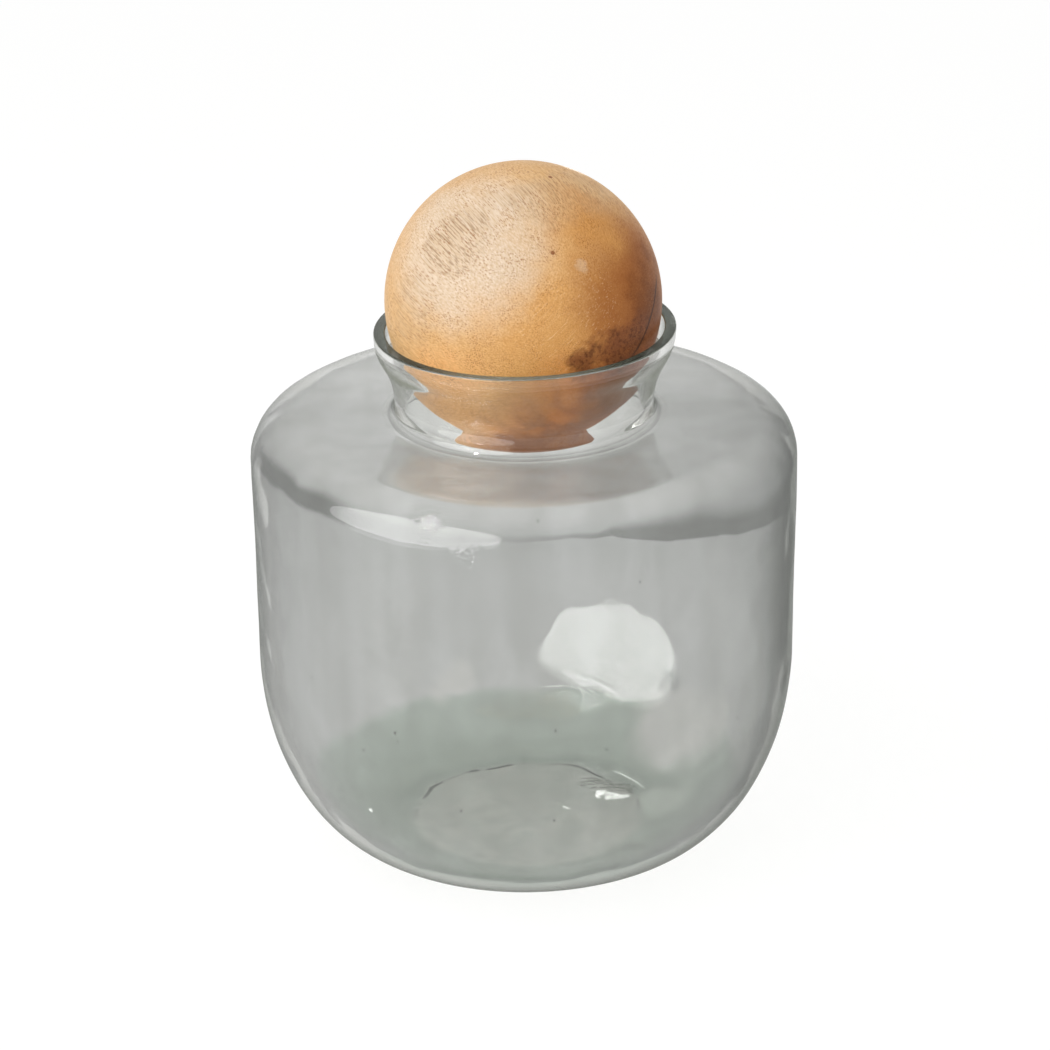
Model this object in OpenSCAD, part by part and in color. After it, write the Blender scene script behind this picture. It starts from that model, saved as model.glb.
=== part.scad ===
// Kitchen canister: a blown glass jar with a flared collar, closed by a turned wooden ball.
// Millimetres, +Z up, origin on the table at the centre of the foot.

/* [Jar body] */
// Largest outside diameter, just under the shoulder
body_d = 199; // [160:1:260]
// Height from the table to the top of the rim
jar_h = 201; // [170:1:280]
// Thickness of the glass in the wall and shoulder
wall = 2.5; // [2:0.1:5]
// Thickness of the glass at the foot
base_t = 4; // [3:0.5:10]
// How far the wall draws in from the shoulder down to the heel
wall_draw = 0.9; // [0:0.1:4]

/* [Foot and heel] */
// Outside diameter of the flat ring that the jar stands on
foot_d = 100; // [70:1:120]
// Width of that ring
foot_ring_w = 5; // [3:0.5:10]
// Height of the hollow under the base, at its middle
push_up_h = 1.3; // [0.5:0.1:2.5]
// Height of the rounded heel, from the table to the straight wall
heel_h = 75; // [50:1:90]

/* [Shoulder] */
// Outside radius of the rounded shoulder
shoulder_r = 15; // [8:0.5:24]
// Thickness of the glass in the middle of that rounding
shoulder_t = 3; // [2.5:0.1:6]

/* [Collar] */
// Height of the collar above the flat shoulder
collar_h = 35; // [26:1:50]
// Thickness of the glass in the collar
collar_t = 4; // [3:0.1:6]
// Radius of the hollow corner where the collar leaves the shoulder
neck_fillet = 3; // [1:0.5:6]
// Thickness of the glass in the middle of that corner
neck_t = 1.8; // [1:0.1:2]
// Height of the upright neck above that corner, on the outside
neck_rise = 2; // [0:0.5:4]
// How far the rim leans out past the neck, on each side
flare_out = 7.5; // [6:0.1:12]
// Radius of the outside of the collar where it bends up again into the rim
rim_round = 20; // [4:0.5:24]
// Radius of the polished edges of the flat rim
rim_edge = 0.8; // [0.3:0.1:1.4]

/* [Ball stopper] */
// Diameter of the turned ball
ball_d = 100; // [80:1:130]
// How much narrower the throat is than the ball, on each side
seat_overlap = 6.9; // [5:0.1:12]
// Gap between the ball and the glass that it rests on
seat_gap = 0.3; // [0.1:0.1:1]

/* [Hidden] */
$fn = 128;
// Largest turn between two points of a round outline, in degrees
arc_step = 3;
// Spans along the drawn-in wall
wall_spans = 12;

// Radii of the body, measured from the axis
body_r = body_d / 2;
wall_r = body_r - wall_draw;
foot_r = foot_d / 2;
push_up_r = foot_r - foot_ring_w;
floor_r = foot_r - wall;

// Flat top of the shoulder, and the middle of its rounding
shoulder_top = jar_h - collar_h;
shoulder_z = shoulder_top - shoulder_r;
shoulder_mid = [body_r - shoulder_r, shoulder_z];

// Underside of the shoulder, and the middle of the rounding inside
under_z = shoulder_top - wall;
shoulder_in_r = max(1, shoulder_r + (1 + sqrt(2)) * shoulder_t - (2 + sqrt(2)) * wall);
shoulder_in_z = under_z - shoulder_in_r;
shoulder_in_mid = [body_r - wall - shoulder_in_r, shoulder_in_z];

// The throat is set by the ball, and the collar's outside by the throat and the glass
throat_r = ball_d / 2 - seat_overlap;
neck_r = throat_r + collar_t;

// Middle of the corner between shoulder and collar: the flare starts upright at this height
flare_z = shoulder_top + neck_fillet;
neck_mid = [neck_r + neck_fillet, flare_z];

// Inside, the collar is one arc from the upright throat to the rim
lip_r = collar_t / 2;
lip_rise = jar_h - lip_r - flare_z;
flare_a = 2 * atan(flare_out / lip_rise);
flare_r = lip_rise / sin(flare_a);
flare_mid = [neck_r - lip_r + flare_r, flare_z];

// Middles of the rounded edges of the rim, outside and inside
rim_r = neck_r + flare_out;
edge_out = [rim_r - rim_edge, jar_h - rim_edge];
edge_reach = flare_r + lip_r + rim_edge;
edge_a = asin((jar_h - rim_edge - flare_z) / edge_reach);
edge_in = [flare_mid.x - edge_reach * cos(edge_a), jar_h - rim_edge];

// Outside, two arcs lead from the upright neck to the rim: out from the neck, then up again
bow_z = flare_z + neck_rise;
bow_rise = jar_h - lip_r - bow_z;
bow_a = 2 * atan(flare_out / bow_rise);
bow_r = bow_rise / sin(bow_a) - rim_round;
bow_mid = [neck_r + bow_r, bow_z];
rim_mid = [rim_r - rim_round, jar_h - lip_r];

// Middle of the inner corner, which runs into the collar's inside and into the underside of the shoulder
throat_round = neck_fillet + collar_t + wall - neck_t
    + sqrt(2 * max(0, collar_t - neck_t) * max(0, wall - neck_t));
throat_z = under_z + throat_round;
throat_reach = flare_r + lip_r - throat_round;
throat_a = asin((throat_z - flare_z) / throat_reach);
throat_mid = flare_mid + [-throat_reach * cos(throat_a), throat_z - flare_z];

// The ball sinks until it meets the inside of the flare, or the rim where the flare is too steep for it
ball_r = ball_d / 2;
flare_reach = ball_r + seat_gap + flare_r + lip_r;
rim_reach = ball_r + seat_gap + rim_edge;
meets_flare = acos(flare_mid.x / flare_reach) <= edge_a;
ball_z = meets_flare
    ? flare_z + sqrt(pow(flare_reach, 2) - pow(flare_mid.x, 2))
    : edge_in.y + sqrt(pow(rim_reach, 2) - pow(edge_in.x, 2));

// Points of an oval arc about c, from angle a0 to a1 in degrees
function oval(c, rx, ry, a0, a1) =
    let (n = max(2, ceil(abs(a1 - a0) / arc_step)))
    [for (i = [0:n]) let (a = a0 + (a1 - a0) * i / n) c + [rx * cos(a), ry * sin(a)]];

// Points of a round arc
function arc(c, r, a0, a1) = oval(c, r, r, a0, a1);

// Share of the draw-in that is left at height share t: upright at both ends
function ease(t) = t * t * (3 - 2 * t);

// Points up the wall from the heel to a height, set in from the outside by a depth
function wall_line(depth, top) =
    [for (i = [1:wall_spans - 1])
        let (t = i / wall_spans)
        [wall_r - depth + wall_draw * ease(t), heel_h + (top - heel_h) * t]];

// Points of a list in the other direction
function reversed(points) = [for (i = [len(points) - 1:-1:0]) points[i]];

// Shallow dome under the base, from the middle out to the foot ring
function push_up() =
    let (dome_r = (pow(push_up_r, 2) + pow(push_up_h, 2)) / (2 * push_up_h))
    arc([0, push_up_h - dome_r], dome_r, 90, 90 - asin(push_up_r / dome_r));

// Outside of the glass, from the foot ring up to the rim
function outside() = concat(
    oval([foot_r, heel_h], wall_r - foot_r, heel_h, -90, 0),
    wall_line(0, shoulder_z),
    arc(shoulder_mid, shoulder_r, 0, 90),
    arc(neck_mid, neck_fillet, 270, 180),
    arc(bow_mid, bow_r, 180, 180 - bow_a),
    arc(rim_mid, rim_round, -bow_a, 0)
);

// Flat rim with polished edges, from the outside over to the inside
function rim() = concat(
    arc(edge_out, rim_edge, 0, 90),
    arc(edge_in, rim_edge, 90, 180 - edge_a)
);

// Inside of the glass, from the rim down to the middle of the floor
function inside() = concat(
    arc(flare_mid, flare_r + lip_r, 180 - edge_a, 180 - throat_a),
    arc(throat_mid, throat_round, 180 - throat_a, 270),
    arc(shoulder_in_mid, shoulder_in_r, 90, 0),
    reversed(wall_line(wall, shoulder_in_z)),
    oval([floor_r, heel_h], wall_r - wall - floor_r, heel_h - base_t, 0, -90),
    [[0, base_t]]
);

// One blown shell: push-up, foot, heel, wall, shoulder and flared collar
module glass_jar() {
    color([0.70, 0.72, 0.70, 0.45])
        rotate_extrude()
            polygon(concat(push_up(), outside(), rim(), inside()));
}

// Solid turned ball, resting by its own weight in the collar
module ball_stopper() {
    color([0.84, 0.64, 0.41])
        translate([0, 0, ball_z])
            sphere(d = ball_d);
}

glass_jar();
ball_stopper();
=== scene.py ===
import math
from functools import partial

import bpy
from mathutils import Euler, Matrix, Vector


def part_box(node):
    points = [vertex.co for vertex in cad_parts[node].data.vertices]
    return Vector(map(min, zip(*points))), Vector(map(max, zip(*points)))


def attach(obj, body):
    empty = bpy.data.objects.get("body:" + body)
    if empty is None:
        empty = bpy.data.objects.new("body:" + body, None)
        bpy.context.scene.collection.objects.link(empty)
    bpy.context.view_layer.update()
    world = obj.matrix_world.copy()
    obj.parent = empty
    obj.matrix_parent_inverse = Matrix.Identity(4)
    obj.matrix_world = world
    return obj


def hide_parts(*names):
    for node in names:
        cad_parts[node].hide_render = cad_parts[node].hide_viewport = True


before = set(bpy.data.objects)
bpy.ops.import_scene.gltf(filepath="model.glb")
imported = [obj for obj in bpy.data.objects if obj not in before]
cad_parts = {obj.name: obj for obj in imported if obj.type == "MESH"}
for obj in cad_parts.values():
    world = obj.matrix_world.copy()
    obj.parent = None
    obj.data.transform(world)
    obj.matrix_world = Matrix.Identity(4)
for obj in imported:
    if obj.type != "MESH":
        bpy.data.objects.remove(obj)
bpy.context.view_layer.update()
mm = 0.001
scene = bpy.context.scene
print("frame loaded with", sorted(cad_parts))


def toLinear(hexColour):  # sRGB hex to the linear colour that shaders take
    parts = [int(hexColour[i:i + 2], 16) / 255 for i in (1, 3, 5)]
    linear = [c / 12.92 if c <= 0.04045 else ((c + 0.055) / 1.055) ** 2.4 for c in parts]
    return (*linear, 1.0)


def addNode(tree, kind, inputs=(), out=0, stops=None, **settings):  # gives one output, or the node for None
    node = tree.nodes.new(kind)
    for name, value in settings.items():
        setattr(node, name, value)
    for socket, value in inputs.items() if isinstance(inputs, dict) else enumerate(inputs):
        if isinstance(value, bpy.types.NodeSocket):
            tree.links.new(value, node.inputs[socket])
        else:
            node.inputs[socket].default_value = value
    for i, (position, colour) in enumerate(sorted((stops or {}).items())):  # the colours of a ramp
        element = node.color_ramp.elements[i] if i < 2 else node.color_ramp.elements.new(position)
        element.position, element.color = position, toLinear(colour)
    return node if out is None else node.outputs[out]


def newMaterial(name):
    material = bpy.data.materials.new(name)
    material.use_nodes = True
    material.node_tree.nodes.clear()
    return material, partial(addNode, material.node_tree)


def newTree(name, sockets):  # sockets: name to kind
    tree = bpy.data.node_groups.new(name, "GeometryNodeTree")
    for socket, kind in sockets.items():
        tree.interface.new_socket(socket, in_out="INPUT", socket_type="NodeSocket" + kind)
    tree.interface.new_socket("Piece", in_out="OUTPUT", socket_type="NodeSocketGeometry")
    return tree, partial(addNode, tree)


def newObject(name, data):
    piece = bpy.data.objects.new(name, data)
    scene.collection.objects.link(piece)
    return piece


def runTree(piece, tree, values):  # run a node tree on a piece and keep the result as its plain mesh
    modifier = piece.modifiers.new(tree.name, "NODES")
    modifier.node_group = tree
    sockets = {item.name: item.identifier for item in tree.interface.items_tree if item.in_out == "INPUT"}
    for name, value in values.items():
        modifier[sockets[name]] = value
    finished = piece.evaluated_get(bpy.context.evaluated_depsgraph_get())
    mesh = bpy.data.meshes.new_from_object(finished)
    piece.modifiers.clear()
    start, piece.data = piece.data, mesh
    bpy.data.meshes.remove(start)
    mesh.name = piece.name
    for layer in ("wave", "side"):  # the outline's marks are needed no more
        if layer in mesh.attributes:
            mesh.attributes.remove(mesh.attributes[layer])
    print(piece.name, "has", len(mesh.polygons), "faces")


# Camera, matched to the photograph's own viewing angle
view = {
    "imageSide": 1050,  # pixels
    "focal": 4500,  # pixels
    "sensor": 36.0,  # millimetres
    "elevation": 22.78,  # degrees above the table
    "distance": 1.6514,  # metres
    "aimHeight": 0.1213,  # metres
    "roll": -0.45,  # degrees
}
lens = bpy.data.cameras.new("camera")
lens.sensor_width = view["sensor"]
lens.lens = view["focal"] / view["imageSide"] * view["sensor"]
camera = newObject("camera", lens)
tilt = math.radians(view["elevation"])
stand = Vector((0, -math.cos(tilt), math.sin(tilt))) * view["distance"] + Vector((0, 0, view["aimHeight"]))
turn = Euler((math.pi / 2 - tilt, 0, 0)).to_matrix() @ Matrix.Rotation(math.radians(view["roll"]), 3, "Z")
camera.matrix_world = Matrix.Translation(stand) @ turn.to_4x4()
scene.camera = camera
print("camera placed")

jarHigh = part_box("glass_jar")[1]
ballLow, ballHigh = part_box("ball_stopper")
ballMiddle = (ballLow + ballHigh) / 2
ballRadius = (ballHigh.z - ballLow.z) / 2

# Blown glass jar
jar = {  # millimetres unless it says otherwise
    "wall": 2.5,
    "collarWall": 4.0,
    "base": 2.6,
    "heelWall": 1.7,  # the bubble is blown thinner here
    "wallDraw": 0.9,  # the wall is drawn in by this at the top of the heel
    "footDia": 100.0,
    "footRing": 5.0,
    "floorInset": 1.0,  # the flat of the inner floor ends this far inside the foot
    "pushUp": 1.3,
    "heelHeight": 75.0,
    "shoulderRadius": 15.0,
    "shoulderInside": 13.7,
    "collarHeight": 35.0,
    "neckCorner": 4.0,
    "neckRise": 1.0,
    "throatRound": 10.3,
    "flareOut": 7.5,
    "rimRound": 20.0,
    "rimWall": 4.2,  # the flare keeps this thickness, so the inside follows the outside
    "rimEdge": 0.8,
    "seatOverlap": 6.9,
    "spacing": 2.7,  # between points along the outline
    "turnStep": 9.0,  # degrees between points on the tight rounds
    "same": 0.001,  # points of the outline nearer than this are one
    "seam": 0.005,  # and points of the turned shell
    "segments": 224,  # around the axis, a count
    "swell": 0.30,  # slow wander of a mouth-blown wall
    "swellLength": 46.0,
    "ripple": 0.10,  # shorter chill marks on the same wall
    "rippleLength": 12.0,
    "noiseReach": 0.25,  # how far noise goes either way from its middle, no unit
    "sideStep": 6.3,  # keeps the wander of the two sides of the wall apart, no unit
    "rimDrop": 2.0,  # the collar sagged a little when it was reheated
    "rimSlant": 0.021,  # and more on the left: rise for each unit along X
    "rimShift": 0.5,  # to the right
    "seedsPerArea": 420.0,  # trapped bubbles in each square metre of wall
    "seedRadius": 0.32,
    "seedSizes": (0.35, 1.35),  # shares of that radius
    "seedStretch": (1.0, 1.6, 0.7),  # shares of it across, along and through the wall
    "seedDepths": (0.25, 0.75),  # shares of the wall
    "pattern": 4,  # random seed
}


def jarOutline():  # from the middle of the underside, over the rim, to the middle of the inner floor
    g = {name: value * mm for name, value in jar.items() if isinstance(value, float)}  # in metres
    outside, inside = 0.0, 1.0
    rows = []  # radius, height, share of the wander, side of the wall

    def add(x, z, wave, side):
        if not rows or math.hypot(x - rows[-1][0], z - rows[-1][1]) > g["same"]:
            rows.append((x, z, wave, side))

    def arc(middle, rx, rz, fromAngle, toAngle, wave, side):  # wave: the share at its end
        before = rows[-1][2] if rows else wave
        span = abs(toAngle - fromAngle)
        steps = math.ceil(max(math.radians(span) * max(rx, rz) / g["spacing"], span / jar["turnStep"]))
        for i in range(steps + 1):
            a = math.radians(fromAngle + (toAngle - fromAngle) * i / steps)
            share = before + (wave - before) * (i / steps)
            add(middle[0] + rx * math.cos(a), middle[1] + rz * math.sin(a), share, side)

    def run(start, end, wave, side, ease=False):
        before = rows[-1][2]
        steps = max(1, math.ceil(math.dist(start, end) / g["spacing"]))
        for i in range(steps + 1):
            t = i / steps
            s = t * t * (3 - 2 * t) if ease else t
            share = before + (wave - before) * t
            add(start[0] + (end[0] - start[0]) * s, start[1] + (end[1] - start[1]) * t, share, side)

    wall, heelWall, rimWall = g["wall"], g["heelWall"], g["rimWall"]
    lip, edge = g["collarWall"] / 2, g["rimEdge"]
    bodyR, rimTop = jarHigh.x, jarHigh.z
    wallR, footR = bodyR - g["wallDraw"], g["footDia"] / 2
    pushR, floorR = footR - g["footRing"], footR - g["floorInset"]
    heel = g["heelHeight"]
    shoulderTop = rimTop - g["collarHeight"]
    underTop = shoulderTop - wall
    shoulderR = g["shoulderRadius"]
    shoulder = (bodyR - shoulderR, shoulderTop - shoulderR)
    insideR = g["shoulderInside"]
    under = (bodyR - wall - insideR, underTop - insideR)
    neckR = ballRadius - g["seatOverlap"] + g["collarWall"]
    neckZ = shoulderTop + g["neckCorner"]
    corner = (neckR + g["neckCorner"], neckZ)
    bowZ = neckZ + g["neckRise"]  # the upright neck bends out and then up again into a full rim
    bow = 2 * math.atan(g["flareOut"] / (rimTop - lip - bowZ))
    rimR = g["rimRound"]
    bowR = (rimTop - lip - bowZ) / math.sin(bow) - rimR
    bow = math.degrees(bow)
    bowAt = (neckR + bowR, bowZ)
    rimOut = neckR + g["flareOut"]
    rimAt = (rimOut - rimR, rimTop - lip)
    throat = g["throatRound"]  # the inner corner runs tangent into the flare and under the shoulder
    throatZ = underTop + throat
    reach = bowR + rimWall - throat
    dip = math.asin((throatZ - bowZ) / reach)
    throatAt = (neckR + bowR - reach * math.cos(dip), throatZ)
    dip = math.degrees(dip)

    domeR = (pushR ** 2 + g["pushUp"] ** 2) / (2 * g["pushUp"])
    domeEnd = 90 - math.degrees(math.asin(pushR / domeR))
    arc((0, g["pushUp"] - domeR), domeR, domeR, 90, domeEnd, 0.0, outside)
    run((pushR, 0), (footR, 0), 0.0, outside)
    arc((footR, heel), wallR - footR, heel, -90, 0, 0.8, outside)
    run((wallR, heel), (bodyR, shoulder[1]), 1.0, outside, True)
    arc(shoulder, shoulderR, shoulderR, 0, 90, 0.6, outside)
    run((shoulder[0], shoulderTop), (corner[0], shoulderTop), 0.2, outside)
    arc(corner, g["neckCorner"], g["neckCorner"], 270, 180, 0.3, outside)
    run((neckR, neckZ), (neckR, bowZ), 0.5, outside)
    arc(bowAt, bowR, bowR, 180, 180 - bow, 0.5, outside)
    arc(rimAt, rimR, rimR, -bow, 0, 0.15, outside)
    arc((rimOut - edge, rimTop - edge), edge, edge, 0, 90, 0.15, outside)
    arc((rimOut - rimWall + edge, rimTop - edge), edge, edge, 90, 180, 0.15, outside)
    arc(rimAt, rimR - rimWall, rimR - rimWall, 0, -bow, 0.3, inside)
    arc(bowAt, bowR + rimWall, bowR + rimWall, 180 - bow, 180 - dip, 0.3, inside)
    arc(throatAt, throat, throat, 180 - dip, 270, 0.5, inside)
    run((throatAt[0], underTop), (under[0], underTop), 1.0, inside)
    arc(under, insideR, insideR, 90, 0, 1.2, inside)
    run((bodyR - wall, under[1]), (wallR - heelWall, heel), 0.9, inside, True)
    arc((floorR, heel), wallR - heelWall - floorR, heel - g["base"], 0, -90, 0.25, inside)
    run((floorR, g["base"]), (0, g["base"]), 0.3, inside)

    mesh = bpy.data.meshes.new("jarOutline")
    edges = [(i, i + 1) for i in range(len(rows) - 1)]
    mesh.from_pydata([(x, 0, z) for x, z, wave, side in rows], edges, [])
    for column, name in ((2, "wave"), (3, "side")):
        layer = mesh.attributes.new(name, "FLOAT", "POINT")
        layer.data.foreach_set("value", [row[column] for row in rows])
    return mesh


def blowTree():  # turns an outline about Z, lets the wall wander and traps seeds in it
    tree, put = newTree("blowGlass", {
        "Outline": "Geometry", "Segments": "Int", "Swell": "Float", "Swell Length": "Float",
        "Ripple": "Float", "Ripple Length": "Float", "Neck Height": "Float", "Rim Height": "Float",
        "Rim Drop": "Float", "Rim Slant": "Float", "Rim Shift": "Float", "Wall": "Float",
        "Seed Density": "Float", "Seed Radius": "Float", "Pattern": "Int", "Glass": "Material"})
    given = put("NodeGroupInput", out=None).outputs
    outline = given["Outline"]
    count = put("GeometryNodeAttributeDomainSize", [outline], "Point Count")
    across = put("ShaderNodeMath", [given["Segments"], 1.0], operation="ADD")
    shell = put("GeometryNodeMeshGrid", [1.0, 1.0, across, count])
    index = put("GeometryNodeInputIndex")
    ring = put("ShaderNodeMath", [index, 0.5], operation="ADD")
    ring = put("ShaderNodeMath", [ring, count], operation="DIVIDE")
    ring = put("ShaderNodeMath", [ring], operation="FLOOR")
    step = put("ShaderNodeMath", [ring, count], operation="MULTIPLY")
    step = put("ShaderNodeMath", [index, step], operation="SUBTRACT")
    angle = put("ShaderNodeMath", [ring, given["Segments"]], operation="DIVIDE")
    angle = put("ShaderNodeMath", [angle, 2 * math.pi], operation="MULTIPLY")
    place = put("GeometryNodeInputPosition")
    start = put("GeometryNodeSampleIndex", {"Geometry": outline, "Value": place, "Index": step},
                data_type="FLOAT_VECTOR")
    turned = put("ShaderNodeVectorRotate", {"Vector": start, "Angle": angle}, rotation_type="Z_AXIS")
    shell = put("GeometryNodeSetPosition", {"Geometry": shell, "Position": turned})
    for name in ("wave", "side"):  # the outline's own marks go round with it
        mark = put("GeometryNodeInputNamedAttribute", [name], data_type="FLOAT")
        mark = put("GeometryNodeSampleIndex", {"Geometry": outline, "Value": mark, "Index": step},
                   data_type="FLOAT")
        shell = put("GeometryNodeStoreNamedAttribute", {"Geometry": shell, "Name": name, "Value": mark},
                    data_type="FLOAT", domain="POINT")
    shell = put("GeometryNodeMergeByDistance", {"Geometry": shell, "Distance": jar["seam"] * mm})
    spot = put("ShaderNodeSeparateXYZ", [place], None).outputs
    share = put("ShaderNodeMapRange", [spot["Z"], given["Neck Height"], given["Rim Height"], 0.0, 1.0])
    sag = put("ShaderNodeMath", [spot["X"], given["Rim Slant"]], operation="MULTIPLY")
    sag = put("ShaderNodeMath", [sag, given["Rim Drop"]], operation="SUBTRACT")
    sag = put("ShaderNodeMath", [sag, share], operation="MULTIPLY")
    lean = put("ShaderNodeMath", [share, given["Rim Shift"]], operation="MULTIPLY")
    sag = put("ShaderNodeCombineXYZ", {"X": lean, "Z": sag})
    shell = put("GeometryNodeSetPosition", {"Geometry": shell, "Offset": sag})

    wave = put("GeometryNodeInputNamedAttribute", ["wave"], data_type="FLOAT")
    side = put("GeometryNodeInputNamedAttribute", ["side"], data_type="FLOAT")
    layer = put("ShaderNodeMath", [side, jar["sideStep"], given["Pattern"]], operation="MULTIPLY_ADD")
    lift = 0.0
    for size, length in (("Swell", "Swell Length"), ("Ripple", "Ripple Length")):
        scale = put("ShaderNodeMath", [1.0, given[length]], operation="DIVIDE")
        noise = put("ShaderNodeTexNoise", {"W": layer, "Scale": scale, "Detail": 1.0}, noise_dimensions="4D")
        noise = put("ShaderNodeMath", [noise, 0.5], operation="SUBTRACT")
        depth = put("ShaderNodeMath", [given[size], 1 / jar["noiseReach"]], operation="MULTIPLY")
        lift = put("ShaderNodeMath", [noise, depth, lift], operation="MULTIPLY_ADD")
    lift = put("ShaderNodeMath", [lift, wave], operation="MULTIPLY")
    normal = put("GeometryNodeInputNormal")
    push = put("ShaderNodeVectorMath", {0: normal, "Scale": lift}, operation="SCALE")
    shell = put("GeometryNodeSetPosition", {"Geometry": shell, "Offset": push})
    shell = put("GeometryNodeSetShadeSmooth", {"Geometry": shell})

    outer = put("ShaderNodeMath", [wave, side], operation="SUBTRACT")
    outer = put("ShaderNodeMath", [outer, 0.5], operation="GREATER_THAN")  # the outside of the wall and heel
    pattern = given["Pattern"]
    spots = put("GeometryNodeDistributePointsOnFaces", {
        "Mesh": shell, "Selection": outer, "Density": given["Seed Density"], "Seed": pattern}, None).outputs
    near, far = jar["seedDepths"]
    depth = put("FunctionNodeRandomValue", {2: -near, 3: -far, "Seed": pattern}, 1, data_type="FLOAT")
    depth = put("ShaderNodeMath", [depth, given["Wall"]], operation="MULTIPLY")
    sink = put("ShaderNodeVectorMath", {0: spots["Normal"], "Scale": depth}, operation="SCALE")
    inWall = put("GeometryNodeSetPosition", {"Geometry": spots["Points"], "Offset": sink})
    bead = put("GeometryNodeMeshIcoSphere", {"Radius": 1.0, "Subdivisions": 2})
    bead = put("GeometryNodeFlipFaces", [bead])  # a bubble's skin faces the air inside it
    bead = put("GeometryNodeSetShadeSmooth", {"Geometry": bead})
    small, large = jar["seedSizes"]
    spread = put("FunctionNodeRandomValue", {2: small, 3: large, "Seed": index}, 1, data_type="FLOAT")
    size = put("ShaderNodeMath", [given["Seed Radius"], spread], operation="MULTIPLY")
    size = put("ShaderNodeVectorMath", {0: jar["seedStretch"], "Scale": size}, operation="SCALE")
    seeds = put("GeometryNodeInstanceOnPoints", {
        "Points": inWall, "Instance": bead, "Rotation": spots["Rotation"], "Scale": size})
    joined = put("GeometryNodeJoinGeometry", [seeds], None)
    tree.links.new(shell, joined.inputs[0])
    whole = put("GeometryNodeRealizeInstances", [joined.outputs[0]])
    coated = put("GeometryNodeSetMaterial", {"Geometry": whole, "Material": given["Glass"]})
    put("NodeGroupOutput", [coated], None)
    return tree


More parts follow.
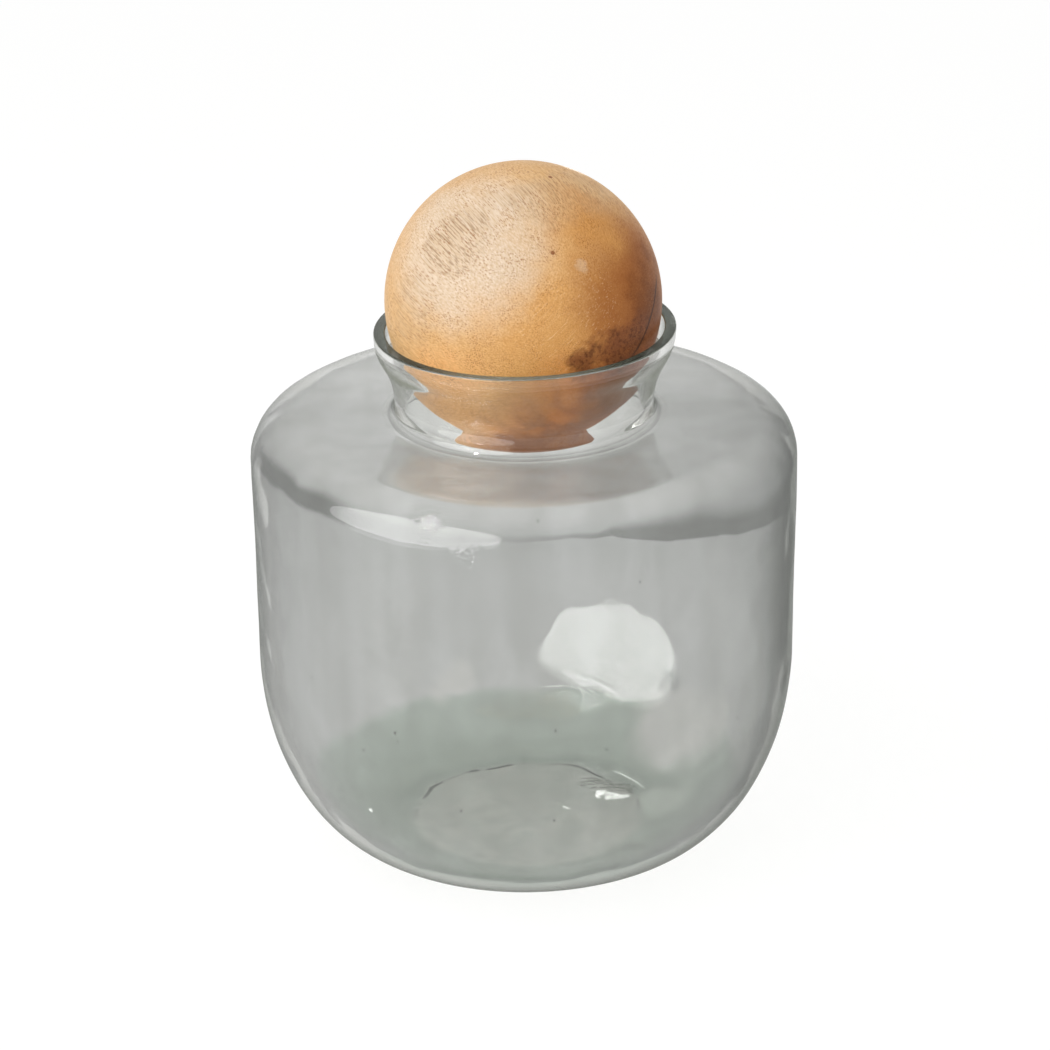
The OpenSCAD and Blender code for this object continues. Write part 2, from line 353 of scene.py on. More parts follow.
def sodaGlass():  # soda-lime glass, mouth-blown: smoky body, clearer collar, green where it is thick
    material, put = newMaterial("blownSodaGlass")
    melt = {  # millimetres in the jar's frame; an edge: coordinate, start, end, and the least it leaves
        "smoke": {  # tint of each skin of the wall, by the share of the height
            0.0: "#b5beb6", 0.09: "#bdc5be", 0.105: "#d4d5d4", 0.7: "#d3d4d3", 0.78: "#cfd0cf",
            0.846: "#fafaf8", 1.0: "#fafaf8"},
        "stir": 26.0,  # length of the swirls that move the tints
        "stirHeight": 6.0,  # and how far: up and down, at the painted patches, and at the push-up
        "stirPaintedPatch": 12.0,
        "stirRing": 3.0,
        "drawn": (15.0, 15.0, 150.0),  # streaks drawn down the wall
        "drawnTint": {0.35: "#ffffff", 0.65: "#f4f4f3"},
        "paintedPatches": (  # lighter patches in the heel that are painted reflections, and one darker patch: place, reach, tint
            ((60, 50, 13), 24, "#d8d8d5"),
            ((-36, 76, 18), 12, "#d9d9d6"),
            ((-27, 79, 26), 12, "#d9d9d6"),
            ((58, 65, 28), 10, "#a6a7a5"),
            ((52, 6, 2), 18, "#d0d7cf"),
        ),
        "paintedPatchFade": 0.3,  # share of the reach, in and out
        "patch": 14.0,  # length of the patches in the base
        "patchShare": (0.35, 0.65, 0.5, 1.0),  # noise from and to, and the share there
        "pushUp": (("ring", 48, 44), ("Z", 12, 10)),  # clearer
        "pushUpTint": "#cbcdc7",
        "contactRing": (45.7, 0.8),  # painted contact shade: a broken dark line at the edge of the push-up, where the foot stands on the floor: radius, half its width
        "contactShade": (("Z", 2.0, 1.5), ("Y", -5, 25)),
        "contactBreaks": (0.42, 0.58, 0.0, 1.0),
        "contactShadeTint": "#2c302c",
        "flank": (("side", 36, 48), ("Z", 169, 174), ("Z", 201, 196)),  # the collar's sides
        "flankTint": "#eeeeec",
        "foot": (166.2, 170),  # painted shade: a dark line along the corner at the collar's foot
        "footShade": {0.0: "#ffffff", 0.04: "#b0b0ae", 0.35: "#dfdfdd", 1.0: "#ffffff"},
        "footSkin": (("radius", 45.5, 46.5),),
        "frontShadeBand": (("X", -40, 60), ("Y", 5, -25)),  # painted shade: dark bands in the shoulder's rounding, drawn like cords of darker glass
        "leftShadeBand": (("X", -50, -72), ("Y", -5, -25), ("height", 157, 159), ("height", 165, 162)),
        "shadeBandLow": 166.8,
        "shadeBandFrom": 30.0,  # past here the front one runs down
        "shadeBandFall": 0.26,  # for each unit along X
        "shadeBandDepth": (25.0, 60.0, 2.5, 14.0),  # along X from and to, and how deep it is there
        "shadeBandFade": {0.0: "#000000", 0.07: "#ffffff", 0.4: "#ffffff", 1.0: "#000000"},
        "shadeBandTint": "#70716e",
        "rimDepth": (0.5, 0.25),  # painted shade on the flat of the rim, where the eye looks down into the wall
        "rimShow": (("Y", -49, -38, 0.3), ("X", -54, -20, 0.82)),
        "rimShade": "#504c39",
        "rimShadeGrey": 0.9,
        "chill": 6.0,  # length of the chill marks
        "pucker": 1.7,
        "puckers": (  # spots that throw sparks
            (25, 77, 16), (32, 54, 3), (27, 27, 3), (36, 24, 3), (40, -32, 3), (-34, -90, 160),
            (-20, -97, 150)),
        "puckerReach": (3.0, 7.0),
        "puckerDepth": 60.0,  # times the chill marks
        "relief": 0.01,  # depth of the chill marks
        "dust": 9.0,
        "haze": (0.45, 0.8, 0.0, 0.03),  # noise from and to, and the roughness there
        "film": (("Z", 160, 165), ("Z", 168.5, 166.8)),  # dust lies on the flat of the shoulder
        "filmHaze": 0.1,
        "darkSide": 0.62,  # for each metre along X: painted shade, the right side goes greyer as if it stood nearer the dark of the room
        "heelLine": (35.0, 85.0, 1.18, 1.0),  # height from and to, and the power there: finer at the heel
        "edge": {  # painted shade: how grey the glass goes, from facing the eye to seen along the wall
            0.1: "#000000", 0.2: "#2e2e2e", 0.38: "#5a5a5a", 0.56: "#898989", 0.66: "#acacac",
            0.72: "#cfcfcf", 0.8: "#eeeeee", 0.88: "#ffffff"},
        "edgeBelow": (("Z", 168.2, 166.8, 0.42),),  # less on the clear collar
        "farShoulder": (("Y", 0, 40), ("Z", 148, 158)),  # which stands against the light
        "farShare": 0.45,
        "edgeShadeTint": "#959794",
        "ior": 1.52,
        "straightTint": "#f3f4f1",  # light goes straight on to what stands in the glass
        "turns": 2.5,  # reflections after which light counts as caught in the wall
        "escapeTint": "#e6e7e3",  # and comes out dimmed at rim and heel
        "depthTint": "#adb2a9",
        "density": 2.5,  # for each metre of glass
    }
    place = put("ShaderNodeTexCoord", out="Object")
    axes = put("ShaderNodeSeparateXYZ", [place], None).outputs
    noises = {}
    for name, detail, distortion in (("stir", 2.0, 0.6), ("patch", 2.0, 1.5), ("chill", 1.0, 0.0),
                                     ("pucker", 1.0, 0.0), ("dust", 6.0, 0.0)):
        noises[name] = put("ShaderNodeTexNoise", {
            "Vector": place, "Scale": 1 / (melt[name] * mm), "Detail": detail, "Distortion": distortion})
    stir = noises["stir"]
    spans = {axis: axes[axis] for axis in ("X", "Y", "Z")}
    spans["side"] = put("ShaderNodeMath", [axes["X"]], operation="ABSOLUTE")
    level = put("ShaderNodeVectorMath", [place, (1.0, 1.0, 0.0)], operation="MULTIPLY")
    spans["radius"] = put("ShaderNodeVectorMath", [level], "Value", operation="LENGTH")
    for name, source, size in (("height", "Z", "stirHeight"), ("ring", "radius", "stirRing")):
        spans[name] = put("ShaderNodeMath", [stir, melt[size] * mm, spans[source]], operation="MULTIPLY_ADD")

    def within(edges, mask=1.0, **how):  # what edges leave of a mask
        for span, start, end, *least in edges:
            part = [spans[span], start * mm, end * mm, *(least or [0.0]), 1.0]
            part = put("ShaderNodeMapRange", part, **how)
            mask = put("ShaderNodeMath", [part, mask], operation="MULTIPLY")
        return mask

    low = melt["stirHeight"] / 2 * mm
    rise = put("ShaderNodeMapRange", [spans["height"], low, jarHigh.z + low, 0.0, 1.0])
    tint = put("ShaderNodeValToRGB", [rise], stops=melt["smoke"])
    scale = [1 / (size * mm) for size in melt["drawn"]]
    drawn = put("ShaderNodeVectorMath", [place, scale], operation="MULTIPLY")
    drawn = put("ShaderNodeTexNoise", {"Vector": drawn, "Scale": 1.0, "Detail": 1.0})
    drawn = put("ShaderNodeValToRGB", [drawn], stops=melt["drawnTint"])
    tint = put("ShaderNodeMix", {0: 1.0, 6: tint, 7: drawn}, 2, data_type="RGBA", blend_type="MULTIPLY")
    layers = []  # masks and tints, from the first laid to the last
    # painted reflections: the lighter patches in the heel, and the one darker patch
    for spot, reach, colour in melt["paintedPatches"]:
        paintedPatch = put("ShaderNodeVectorMath", [place, Vector(spot) * mm], "Value", operation="DISTANCE")
        paintedPatch = put("ShaderNodeMath", [stir, melt["stirPaintedPatch"] * mm, paintedPatch], operation="MULTIPLY_ADD")
        start, end = (reach * (1 + way * melt["paintedPatchFade"]) * mm for way in (-1, 1))
        paintedPatch = put("ShaderNodeMapRange", [paintedPatch, start, end, 1.0, 0.0], interpolation_type="SMOOTHSTEP")
        layers.append((paintedPatch, colour))
    patchy = put("ShaderNodeMapRange", [noises["patch"], *melt["patchShare"]])
    layers.append((within(melt["pushUp"], patchy), melt["pushUpTint"]))
    # painted contact shade: a broken dark line along the foot, towards the back
    ringR, ringHalf = (size * mm for size in melt["contactRing"])
    contactShade = put("ShaderNodeMath", [spans["ring"], ringR, ringHalf], operation="COMPARE")
    broken = put("ShaderNodeMapRange", [noises["patch"], *melt["contactBreaks"]])
    broken = put("ShaderNodeMath", [contactShade, broken], operation="MULTIPLY")
    layers.append((within(melt["contactShade"], broken), melt["contactShadeTint"]))
    layers.append((within(melt["flank"]), melt["flankTint"]))
    for mask, colour in layers:
        tint = put("ShaderNodeMix", {0: mask, 6: tint, 7: toLinear(colour)}, 2, data_type="RGBA")
    # painted shade along the corner at the collar's foot
    foot = put("ShaderNodeMapRange", [axes["Z"], *(height * mm for height in melt["foot"]), 0.0, 1.0])
    foot = put("ShaderNodeValToRGB", [foot], stops=melt["footShade"])
    skin = within(melt["footSkin"])
    tint = put("ShaderNodeMix", {0: skin, 6: tint, 7: foot}, 2, data_type="RGBA", blend_type="MULTIPLY")

    # painted shade: the dark bands in the shoulder's rounding
    past = put("ShaderNodeMath", [axes["X"], melt["shadeBandFrom"] * mm], operation="MAXIMUM")
    shadeBand = put("ShaderNodeMath", [past, melt["shadeBandFall"], spans["height"]], operation="MULTIPLY_ADD")
    deep = put("ShaderNodeMapRange", [axes["X"], *(size * mm for size in melt["shadeBandDepth"])])
    shadeBand = put("ShaderNodeMath", [shadeBand, melt["shadeBandLow"] * mm], operation="SUBTRACT")
    shadeBand = put("ShaderNodeMath", [shadeBand, deep], operation="DIVIDE")  # 0 at its lower edge, 1 at its upper
    shadeBand = put("ShaderNodeValToRGB", [shadeBand], stops=melt["shadeBandFade"])
    shadeBand = put("ShaderNodeMapRange", [shadeBand, 0.0, 1.0, 0.0, 1.0], interpolation_type="SMOOTHSTEP")
    front = within(melt["frontShadeBand"], shadeBand, interpolation_type="SMOOTHSTEP")
    left = within(melt["leftShadeBand"], interpolation_type="SMOOTHSTEP")
    shoulderShade = put("ShaderNodeMath", [front, left], operation="MAXIMUM")
    inner = put("ShaderNodeNewGeometry", out="Backfacing")
    shoulderShade = put("ShaderNodeMath", [shoulderShade, inner], operation="SUBTRACT", use_clamp=True)  # only from outside
    # painted shade: the flat of the rim darkened, weaker at the front and on the left
    rimTop = jarHigh.z - jar["rimDrop"] * mm
    rim = put("ShaderNodeMath", [axes["X"], -jar["rimSlant"], axes["Z"]], operation="MULTIPLY_ADD")
    rim = put("ShaderNodeMapRange", [rim, *(rimTop - depth * mm for depth in melt["rimDepth"]), 0.0, 1.0])
    rim = within(melt["rimShow"], rim)
    for mask, colour in ((shoulderShade, melt["shadeBandTint"]), (rim, melt["rimShade"])):
        tint = put("ShaderNodeMix", {0: mask, 6: tint, 7: toLinear(colour)}, 2, data_type="RGBA")

    chill = noises["chill"]
    start, end = (size * mm for size in melt["puckerReach"])
    for spot in melt["puckers"]:
        close = put("ShaderNodeVectorMath", [place, Vector(spot) * mm], "Value", operation="DISTANCE")
        close = put("ShaderNodeMapRange", [close, start, end, melt["puckerDepth"], 0.0])
        chill = put("ShaderNodeMath", [noises["pucker"], close, chill], operation="MULTIPLY_ADD")
    relief = put("ShaderNodeBump", {"Height": chill, "Distance": melt["relief"] * mm, "Strength": 1.0})
    haze = put("ShaderNodeMapRange", [noises["dust"], *melt["haze"]])
    haze = put("ShaderNodeMath", [within(melt["film"]), melt["filmHaze"], haze], operation="MULTIPLY_ADD")
    clear = put("ShaderNodeBsdfPrincipled", {
        "Base Color": tint, "Roughness": haze, "Normal": relief, "IOR": melt["ior"],
        "Transmission Weight": 1.0})

    facing = put("ShaderNodeLayerWeight", [0.5], "Facing")
    facing = put("ShaderNodeMath", [axes["X"], melt["darkSide"], facing], operation="MULTIPLY_ADD")
    start, end, *powers = melt["heelLine"]
    power = put("ShaderNodeMapRange", [axes["Z"], start * mm, end * mm, *powers])
    facing = put("ShaderNodeMath", [facing, power], operation="POWER")
    edge = put("ShaderNodeValToRGB", [facing], stops=melt["edge"])
    edge = within(melt["edgeBelow"], edge)
    far = within(melt["farShoulder"])
    far = put("ShaderNodeMath", [far, -melt["farShare"], 1.0], operation="MULTIPLY_ADD")
    edge = put("ShaderNodeMath", [edge, far], operation="MULTIPLY")
    edge = put("ShaderNodeMath", [rim, melt["rimShadeGrey"], edge], operation="MULTIPLY_ADD", use_clamp=True)
    edgeShade = put("ShaderNodeBsdfGlass", {
        "Color": toLinear(melt["edgeShadeTint"]), "Roughness": haze, "IOR": melt["ior"], "Normal": relief})
    clear = put("ShaderNodeMixShader", [edge, clear, edgeShade])  # painted shade: seen along the wall, the glass goes grey
    path = put("ShaderNodeLightPath", out=None).outputs
    through = put("ShaderNodeMath", [path["Is Shadow Ray"], path["Is Diffuse Ray"]], operation="MAXIMUM")
    straight = put("ShaderNodeBsdfTransparent", [toLinear(melt["straightTint"])])
    surface = put("ShaderNodeMixShader", [through, clear, straight])
    trapped = put("ShaderNodeMath", [path["Glossy Depth"], melt["turns"]], operation="GREATER_THAN")
    escape = put("ShaderNodeBsdfTransparent", [toLinear(melt["escapeTint"])])
    surface = put("ShaderNodeMixShader", [trapped, surface, escape])
    depth = put("ShaderNodeVolumeAbsorption", [toLinear(melt["depthTint"]), melt["density"]])
    put("ShaderNodeOutputMaterial", [surface, depth], None)
    return material


glass = sodaGlass()
jarPiece = newObject("blown_jar", jarOutline())
runTree(jarPiece, blowTree(), {
    "Segments": jar["segments"],
    "Swell": jar["swell"] * mm,
    "Swell Length": jar["swellLength"] * mm,
    "Ripple": jar["ripple"] * mm,
    "Ripple Length": jar["rippleLength"] * mm,
    "Neck Height": jarHigh.z + (jar["neckCorner"] + jar["neckRise"] - jar["collarHeight"]) * mm,
    "Rim Height": jarHigh.z,
    "Rim Drop": jar["rimDrop"] * mm,
    "Rim Slant": jar["rimSlant"],
    "Rim Shift": jar["rimShift"] * mm,
    "Wall": jar["wall"] * mm,
    "Seed Density": jar["seedsPerArea"],
    "Seed Radius": jar["seedRadius"] * mm,
    "Pattern": jar["pattern"],
    "Glass": glass,
})
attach(jarPiece, "jar")
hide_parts("glass_jar")

# Turned wooden ball
ball = {  # millimetres unless it says otherwise
    "cuts": 96,  # faces along an edge of the cube that is blown up into the ball, a count
    "outOfRound": 0.10,
    "outOfRoundLength": 45.0,
    "scuff": 0.035,
    "scuffLength": 5.0,
    "pattern": 9,  # random seed
}


def turnTree():  # a cube of even faces blown up to a ball, with the small errors of hand sanding
    tree, put = newTree("turnBall", {
        "Start": "Geometry", "Cuts": "Int", "Middle": "Vector", "Radius": "Float", "Out Of Round": "Float",
        "Out Of Round Length": "Float", "Scuff": "Float", "Scuff Length": "Float", "Pattern": "Float",
        "Wood": "Material"})
    given = put("NodeGroupInput", out=None).outputs
    across = put("ShaderNodeMath", [given["Cuts"], 1.0], operation="ADD")
    shape = put("GeometryNodeMeshCube", [(2.0, 2.0, 2.0), across, across, across])
    even = put("GeometryNodeInputPosition")
    even = put("ShaderNodeVectorMath", {0: even, "Scale": math.pi / 4}, operation="SCALE")
    even = put("ShaderNodeVectorMath", [even], operation="TANGENT")  # keeps the faces about the same size
    out = put("ShaderNodeVectorMath", [even], operation="NORMALIZE")
    reach = given["Radius"]
    for size, length in (("Out Of Round", "Out Of Round Length"), ("Scuff", "Scuff Length")):
        scale = put("ShaderNodeMath", [given["Radius"], given[length]], operation="DIVIDE")
        noise = put("ShaderNodeTexNoise", {
            "Vector": out, "W": given["Pattern"], "Scale": scale, "Detail": 1.0}, noise_dimensions="4D")
        noise = put("ShaderNodeMath", [noise, given[size]], operation="MULTIPLY")
        reach = put("ShaderNodeMath", [reach, noise], operation="SUBTRACT")
    spot = put("ShaderNodeVectorMath", {0: out, "Scale": reach}, operation="SCALE")
    spot = put("ShaderNodeVectorMath", [spot, given["Middle"]], operation="ADD")
    shape = put("GeometryNodeSetPosition", {"Geometry": shape, "Position": spot})
    shape = put("GeometryNodeSetShadeSmooth", {"Geometry": shape})
    shape = put("GeometryNodeRealizeInstances", [shape])
    coated = put("GeometryNodeSetMaterial", {"Geometry": shape, "Material": given["Wood"]})
    put("NodeGroupOutput", [coated], None)
    return tree


def mangoWood():  # mango wood, turned, sanded and oiled: pale gold, short dark pores, browner at the heart, with painted light on the lower left and painted shade below and on the right
    material, put = newMaterial("oiledMangoWood")
    figure = {  # millimetres; directions go out from the ball's middle; reach: cosine from, to, rag, most
        "grain": (0.49, -0.83, -0.26),  # the fibres run this way, and end on the surface here
        "scratches": (0.71, 0.27, 0.65),  # left by the sanding
        "base": {0.0: "#d49e5e", 0.2: "#daa86b", 0.45: "#ddb17a", 1.0: "#dcb583"},
        "baseStart": 0.825,  # the base colours go from where the fibres end to a quarter turn away
        "baseMottle": 0.30,
        "baseRings": 0.05,
        "zones": {  # direction, reach, colour
            "sapwood": ((-0.42, -0.60, 0.68), (0.83, 1.12, 0.3), "#ddcab4"),
            "flank": ((0.86, -0.45, 0.25), (0.82, 1.17, 0.3), "#9f602c"),
            "amber": ((0.45, -0.50, 0.74), (1.05, 1.18, 0.3), "#cf9858"),
            # painted light: paler and brighter on the lower left, under the collar
            "paintedLightLowerLeft": ((-0.45, -0.62, -0.65), (0.88, 1.15, 0.3), "#fabe80"),
            "under": ((0.45, -0.55, -0.70), (0.75, 1.15, 0.3), "#d9853f"),
            # painted shade: darker brown under the ball
            "shadeUnderBall": ((0.2, -0.25, -0.95), (0.95, 1.12, 0.3), "#9c6236"),
            # painted shade: darker brown on the lower right
            "shadeLowerRight": ((0.80, -0.45, -0.40), (0.88, 1.12, 0.3), "#8f5229"),
            # browner heartwood on the right limb, darkened further as painted shade
            "heartAndShade": ((0.95, -0.30, 0.08), (1.00, 1.20, 0.3), "#6b3c14"),
            "backBrown": ((-0.25, 0.93, 0.25), (0.98, 1.13, 0.3), "#bd8350"),
            "backPale": ((0.55, 0.80, -0.10), (0.98, 1.13, 0.3), "#e2c091"),
        },
        "ringed": {  # growth rings show below and behind
            (0.45, -0.55, -0.70): (0.75, 1.15, 0.3),
            (0.1, 0.98, 0.15): (0.85, 1.1, 0.3),
        },
        "ringColour": "#7a4526",
        "knots": (  # they run together into one
            (0.43, -0.89, -0.13), (0.50, -0.86, -0.12), (0.57, -0.815, -0.10), (0.63, -0.77, -0.08),
            (0.69, -0.72, -0.06), (0.76, -0.648, -0.05), (0.822, -0.568, -0.04), (0.65, -0.74, -0.17),
            (0.8, -0.585, -0.14)),
        "knotReach": (1.014, 1.030, 0.06, 0.85),
        "knotColour": "#78472a",
        "barkColour": "#43240f",  # flecks in the knot
        "streaks": {0.3: "#ffffff", 0.7: "#e6d9c5"},
        "tears": {  # torn grain: direction and how much
            (-0.46, -0.575, 0.672): 1.0,
            (-0.79, -0.598, 0.14): 0.45,
            (0.15, -0.436, 0.889): 0.6,
            (0.44, -0.145, 0.884): 0.5,
            (-0.1, -0.85, -0.5): 0.3,
            (0.55, -0.62, -0.55): 0.2,
        },
        "tearReach": (1.02, 1.06, 0.14),
        "tearColour": "#8a6846",
        "worn": 0.4,  # torn places are paler too
        "wornColour": "#c9b193",
        "poreColour": "#935a2d",
        "scratched": ((0.3, -0.93, 0.15), 0.98, 1.10, 0.3),  # direction and reach
        "scratchBare": 0.6,  # the knot has fewer scratches
        "scratchColour": "#ecca9c",
        "crack": ((0.316, 0.655, -0.686), (0.908, -0.418, 0.019)),  # across it, and its middle
        "crackReach": (0.95, 0.99, 0.04, 0.9),
        "crackWander": 0.06,
        "crackLine": (0.03, 0.012),  # place across and half its width, as shares of the radius
        "crackColour": "#3d2210",
        "specks": ((0.209, -0.758, 0.619), (0.199, -0.139, 0.970)),
        "speckReach": (0.9998, 0.99995, 0.0, 0.8),
        "speckColour": "#7a3f20",
        "chip": (0.419, -0.741, 0.524),
        "chipReach": (1.0135, 1.0165, 0.03, 0.4),
        "chipColour": "#d8bc9c",
        "ring": 5.0,
        "ringMottle": 4.0,  # how many rings the mottle moves them, no unit
        "mottle": 20.0,
        "bark": 1.6,
        "crowd": 7.0,  # size of the places with more pores
        "pore": (0.5, 2.6),  # across and along the fibres; drawn a little coarse so that they show
        "fibre": (0.5, 15.0),
        "tear": (0.6, 14.0),
        "scratch": (0.35, 30.0),
        "dent": 0.05,
        "dentStrength": 0.7,
        "dentTears": 0.9,  # share of the pores' depth
        "ramps": {  # noise from and to, and the value there
            "band": (0.4, 1.0, 0.0, 0.36),
            "blotch": (0.52, 0.66, 0.0, 0.45),
            "bark": (0.50, 0.60, 0.0, 0.7),
            "tear": (0.48, 0.66, 0.0, 0.7),
            "pore": (0.18, 0.42, 1.0, 0.0),
            "crowd": (0.35, 0.7, 0.15, 0.95),
            "scratch": (0.62, 0.74, 0.0, 0.4),
            "sheen": (0.3, 0.8, 0.40, 0.58),
        },
        "ior": 1.48,
        "shine": 0.12,
    }
    ramps = figure["ramps"]
    place = put("ShaderNodeTexCoord", out="Object")
    outward = put("ShaderNodeVectorMath", [place, -ballMiddle], operation="ADD")
    outward = put("ShaderNodeVectorMath", [outward], operation="NORMALIZE")
    lying = {}
    for name in ("grain", "scratches"):  # coordinates whose Z runs along the fibres, and along the scratches
        turnBack = Vector(figure[name]).rotation_difference(Vector((0, 0, 1)))
        lying[name] = put("ShaderNodeMapping", {
            "Vector": place, "Location": -(turnBack @ ballMiddle), "Rotation": turnBack.to_euler()})
    along = lying["grain"]
    drawn = {}
    for name in ("pore", "fibre", "tear", "scratch"):
        across, length = (1 / (size * mm) for size in figure[name])
        source = lying["scratches" if name == "scratch" else "grain"]
        drawn[name] = put("ShaderNodeMapping", {"Vector": source, "Scale": (across, across, length)})

    mottle = put("ShaderNodeTexNoise", {
        "Vector": along, "Scale": 1 / (figure["mottle"] * mm), "Detail": 6.0, "Roughness": 0.62})
    flat = put("ShaderNodeVectorMath", [along, (1.0, 1.0, 0.0)], operation="MULTIPLY")
    rings = put("ShaderNodeVectorMath", [flat], "Value", operation="LENGTH")
    rings = put("ShaderNodeMath", [rings, 1 / (figure["ring"] * mm)], operation="MULTIPLY")
    rings = put("ShaderNodeMath", [mottle, figure["ringMottle"], rings], operation="MULTIPLY_ADD")
    rings = put("ShaderNodeMath", [rings, 1.0], operation="PINGPONG")
    back = -Vector(figure["grain"]).normalized()
    away = put("ShaderNodeVectorMath", [outward, back], "Value", operation="DOT_PRODUCT")
    away = put("ShaderNodeMath", [mottle, figure["baseMottle"], away], operation="MULTIPLY_ADD")
    away = put("ShaderNodeMath", [rings, figure["baseRings"], away], operation="MULTIPLY_ADD")
    away = put("ShaderNodeMath", [away, figure["baseStart"]], operation="ADD")
    colour = put("ShaderNodeValToRGB", [away], stops=figure["base"])

    def near(spot, low, high, ragged, most=1.0):  # a mask round a spot of the surface, with a ragged edge
        way = Vector(spot).normalized()
        close = put("ShaderNodeVectorMath", [outward, way], "Value", operation="DOT_PRODUCT")
        close = put("ShaderNodeMath", [mottle, ragged, close], operation="MULTIPLY_ADD")
        return put("ShaderNodeMapRange", [close, low, high, 0.0, most], interpolation_type="SMOOTHSTEP")

    layers = [(near(spot, *reach), hue) for spot, reach, hue in figure["zones"].values()]
    band = put("ShaderNodeMapRange", [rings, *ramps["band"]])
    blotch = put("ShaderNodeMapRange", [mottle, *ramps["blotch"]])
    band = put("ShaderNodeMath", [band, blotch], operation="MAXIMUM")
    ringed = [near(spot, *reach) for spot, reach in figure["ringed"].items()]
    ringed = put("ShaderNodeMath", ringed, operation="MAXIMUM")
    band = put("ShaderNodeMath", [band, ringed], operation="MULTIPLY")
    knot = 0.0
    for spot in figure["knots"]:
        knot = put("ShaderNodeMath", [near(spot, *figure["knotReach"]), knot], operation="MAXIMUM")
    bark = put("ShaderNodeTexNoise", {"Vector": along, "Scale": 1 / (figure["bark"] * mm), "Detail": 3.0})
    bark = put("ShaderNodeMapRange", [bark, *ramps["bark"]])
    bark = put("ShaderNodeMath", [bark, knot], operation="MULTIPLY")
    layers += [(band, figure["ringColour"]), (knot, figure["knotColour"]), (bark, figure["barkColour"])]
    for mask, hue in layers:  # from the first laid to the last
        colour = put("ShaderNodeMix", {0: mask, 6: colour, 7: toLinear(hue)}, 2, data_type="RGBA")

    fibres = put("ShaderNodeTexNoise", {
        "Vector": drawn["fibre"], "Scale": 1.0, "Detail": 2.0, "Roughness": 0.6})
    streaks = put("ShaderNodeValToRGB", [fibres], stops=figure["streaks"])
    colour = put("ShaderNodeMix", {0: 1.0, 6: colour, 7: streaks}, 2, data_type="RGBA",
                 blend_type="MULTIPLY")

    torn = 0.0
    for spot, weight in figure["tears"].items():
        torn = put("ShaderNodeMath", [near(spot, *figure["tearReach"], weight), torn], operation="MAXIMUM")
    worn = put("ShaderNodeMath", [torn, figure["worn"]], operation="MULTIPLY")
    lines = put("ShaderNodeTexNoise", {"Vector": drawn["tear"], "Scale": 1.0, "Detail": 2.0})
    lines = put("ShaderNodeMapRange", [lines, *ramps["tear"]])
    lines = put("ShaderNodeMath", [lines, torn], operation="MULTIPLY")
    pores = put("ShaderNodeTexVoronoi", {"Vector": drawn["pore"], "Scale": 1.0}, "Distance")
    pores = put("ShaderNodeMapRange", [pores, *ramps["pore"]])
    crowd = put("ShaderNodeTexNoise", {"Vector": along, "Scale": 1 / (figure["crowd"] * mm), "Detail": 3.0})
    crowd = put("ShaderNodeMapRange", [crowd, *ramps["crowd"]])
    pores = put("ShaderNodeMath", [pores, crowd], operation="MULTIPLY")
    scratch = put("ShaderNodeTexNoise", {"Vector": drawn["scratch"], "Scale": 1.0, "Detail": 1.0})
    scratch = put("ShaderNodeMapRange", [scratch, *ramps["scratch"]])
    scratch = put("ShaderNodeMath", [scratch, near(*figure["scratched"])], operation="MULTIPLY")
    bare = put("ShaderNodeMath", [knot, figure["scratchBare"]], operation="MULTIPLY")
    scratch = put("ShaderNodeMath", [scratch, bare], operation="SUBTRACT", use_clamp=True)
    normal, middle = (Vector(way).normalized() for way in figure["crack"])
    split = put("ShaderNodeVectorMath", [outward, normal], "Value", operation="DOT_PRODUCT")
    split = put("ShaderNodeMath", [mottle, figure["crackWander"], split], operation="MULTIPLY_ADD")
    split = put("ShaderNodeMath", [split, *figure["crackLine"]], operation="COMPARE")
    split = put("ShaderNodeMath", [split, near(middle, *figure["crackReach"])], operation="MULTIPLY")
    layers = [(worn, figure["wornColour"]), (lines, figure["tearColour"]), (pores, figure["poreColour"])]
    layers += [(scratch, figure["scratchColour"]), (split, figure["crackColour"])]
    layers += [(near(spot, *figure["speckReach"]), figure["speckColour"]) for spot in figure["specks"]]
    layers += [(near(figure["chip"], *figure["chipReach"]), figure["chipColour"])]
    for mask, hue in layers:
        colour = put("ShaderNodeMix", {0: mask, 6: colour, 7: toLinear(hue)}, 2, data_type="RGBA")

    dents = put("ShaderNodeMath", [lines, figure["dentTears"], pores], operation="MULTIPLY_ADD")
    dents = put("ShaderNodeBump", {
        "Height": dents, "Distance": -figure["dent"] * mm, "Strength": figure["dentStrength"]})
    sheen = put("ShaderNodeMapRange", [fibres, *ramps["sheen"]])
    surface = put("ShaderNodeBsdfPrincipled", {
        "Base Color": colour, "Roughness": sheen, "Normal": dents, "IOR": figure["ior"],
        "Specular IOR Level": figure["shine"]})
    put("ShaderNodeOutputMaterial", [surface], None)
    return material


wood = mangoWood()
ballPiece = newObject("turned_ball", bpy.data.meshes.new("ballStart"))
runTree(ballPiece, turnTree(), {
    "Cuts": ball["cuts"],
    "Middle": ballMiddle,
    "Radius": ballRadius,
    "Out Of Round": ball["outOfRound"] * mm,
    "Out Of Round Length": ball["outOfRoundLength"] * mm,
    "Scuff": ball["scuff"] * mm,
    "Scuff Length": ball["scuffLength"] * mm,
    "Pattern": ball["pattern"],
    "Wood": wood,
})
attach(ballPiece, "stopper")
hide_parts("ball_stopper")

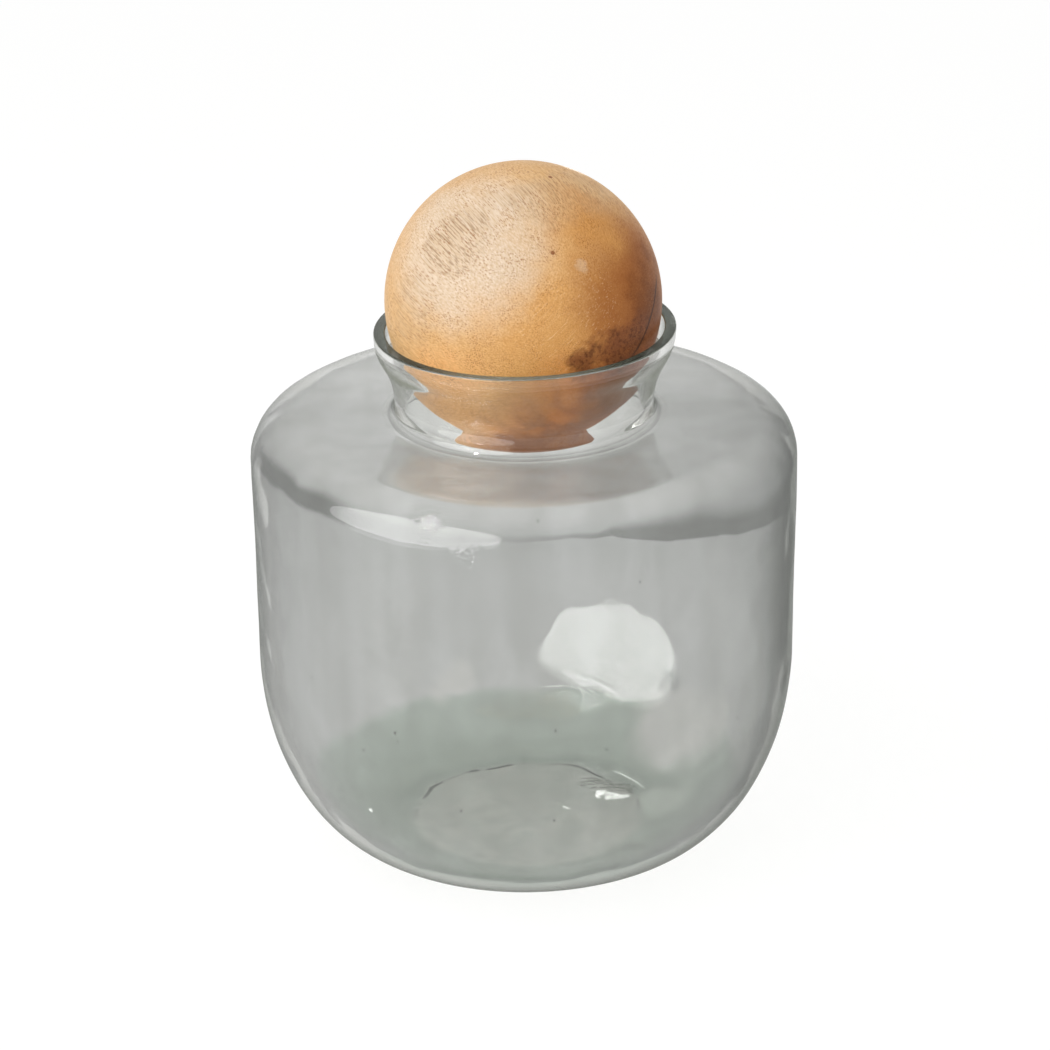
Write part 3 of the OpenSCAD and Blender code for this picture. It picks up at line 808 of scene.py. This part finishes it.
# Floor, world and lamps
studio = {  # metres, angles in degrees from the camera's side, left is minus; brightness 1 is white
    "floorSide": 8.0,
    "floorDrop": 0.00015,  # keeps the floor's face apart from the foot's
    "floorColour": "#7c7c7b",
    "floorSeen": 0.82,  # what the pale floor adds for the eye
    "floorBounce": 0.80,  # what it gives back to the object
    "ambient": 0.80,
    "lamps": {  # azimuth, elevation, distance, width, height, brightness; lights, or shows in the glass
        "key": (-50, 42, 0.9, 1.3, 0.95, 1.72, True),
        "softbox": (-47, 20, 0.91, 1.3, 0.95, 2.95, False),
        "bulb": (-49, 46, 1.0, 0.08, 0.08, 260.0, False),
        "backBulb": (174, 5.5, 0.4, 0.014, 0.014, 150.0, False),
    },
    "lampAim": 0.14,  # height of the point they look at
    "inside": 3.9,  # how much stronger the lamps show in the far wall
    "insideTurns": (3.0, 4.0),  # surfaces that light has gone through on the near side, and at the far wall
}


def whiteRays(put):  # 1 for what the camera sees: straight, in a mirror or through glass
    path = put("ShaderNodeLightPath", out=None).outputs
    seen = put("ShaderNodeMath", [path["Is Camera Ray"], path["Is Glossy Ray"]], operation="MAXIMUM")
    return put("ShaderNodeMath", [seen, path["Is Transmission Ray"]], operation="MAXIMUM")


pureWhite = toLinear("#ffffff")
half = studio["floorSide"] / 2
corners = [(x * half, y * half, -studio["floorDrop"]) for x, y in ((-1, -1), (1, -1), (1, 1), (-1, 1))]
floorMesh = bpy.data.meshes.new("floor")
floorMesh.from_pydata(corners, [], [(0, 1, 2, 3)])
floor = newObject("floor", floorMesh)
paper, put = newMaterial("paleFloor")
plain = put("ShaderNodeBsdfDiffuse", [toLinear(studio["floorColour"])])
glow = put("ShaderNodeMapRange", [whiteRays(put), 0.0, 1.0, studio["floorBounce"], studio["floorSeen"]])
glow = put("ShaderNodeEmission", [pureWhite, glow])
put("ShaderNodeOutputMaterial", [put("ShaderNodeAddShader", [plain, glow])], None)
floorMesh.materials.append(paper)

world = bpy.data.worlds.new("studio")
scene.world = world
world.use_nodes = True
world.node_tree.nodes.clear()
put = partial(addNode, world.node_tree)
ambient = put("ShaderNodeBackground", [pureWhite, studio["ambient"]])
white = put("ShaderNodeBackground", [pureWhite, 1.0])
put("ShaderNodeOutputWorld", [put("ShaderNodeMixShader", [whiteRays(put), ambient, white])], None)

for name, (azimuth, elevation, distance, width, height, brightness, lights) in studio["lamps"].items():
    lamp = bpy.data.lights.new(name, "AREA")
    lamp.shape = "ELLIPSE"
    lamp.size, lamp.size_y = width, height
    lamp.energy = brightness * math.pi * math.pi / 4 * width * height
    a, e = math.radians(azimuth), math.radians(elevation)
    way = Vector((math.sin(a) * math.cos(e), -math.cos(a) * math.cos(e), math.sin(e)))
    spot = Matrix.Translation(way * distance + Vector((0, 0, studio["lampAim"])))
    stand = newObject(name, lamp)
    stand.matrix_world = spot @ way.to_track_quat("Z", "Y").to_matrix().to_4x4()
    stand.visible_camera = False
    stand.visible_diffuse = lights
    stand.visible_glossy = stand.visible_transmission = not lights
    lamp.use_nodes = True
    lamp.node_tree.nodes.clear()
    put = partial(addNode, lamp.node_tree)
    turns = put("ShaderNodeLightPath", out="Transmission Depth")
    power = put("ShaderNodeMapRange", [turns, *studio["insideTurns"], 1.0, studio["inside"]])
    put("ShaderNodeOutputLight", [put("ShaderNodeEmission", [pureWhite, power])], None)
print("studio lit")

scene.view_settings.view_transform = "Standard"
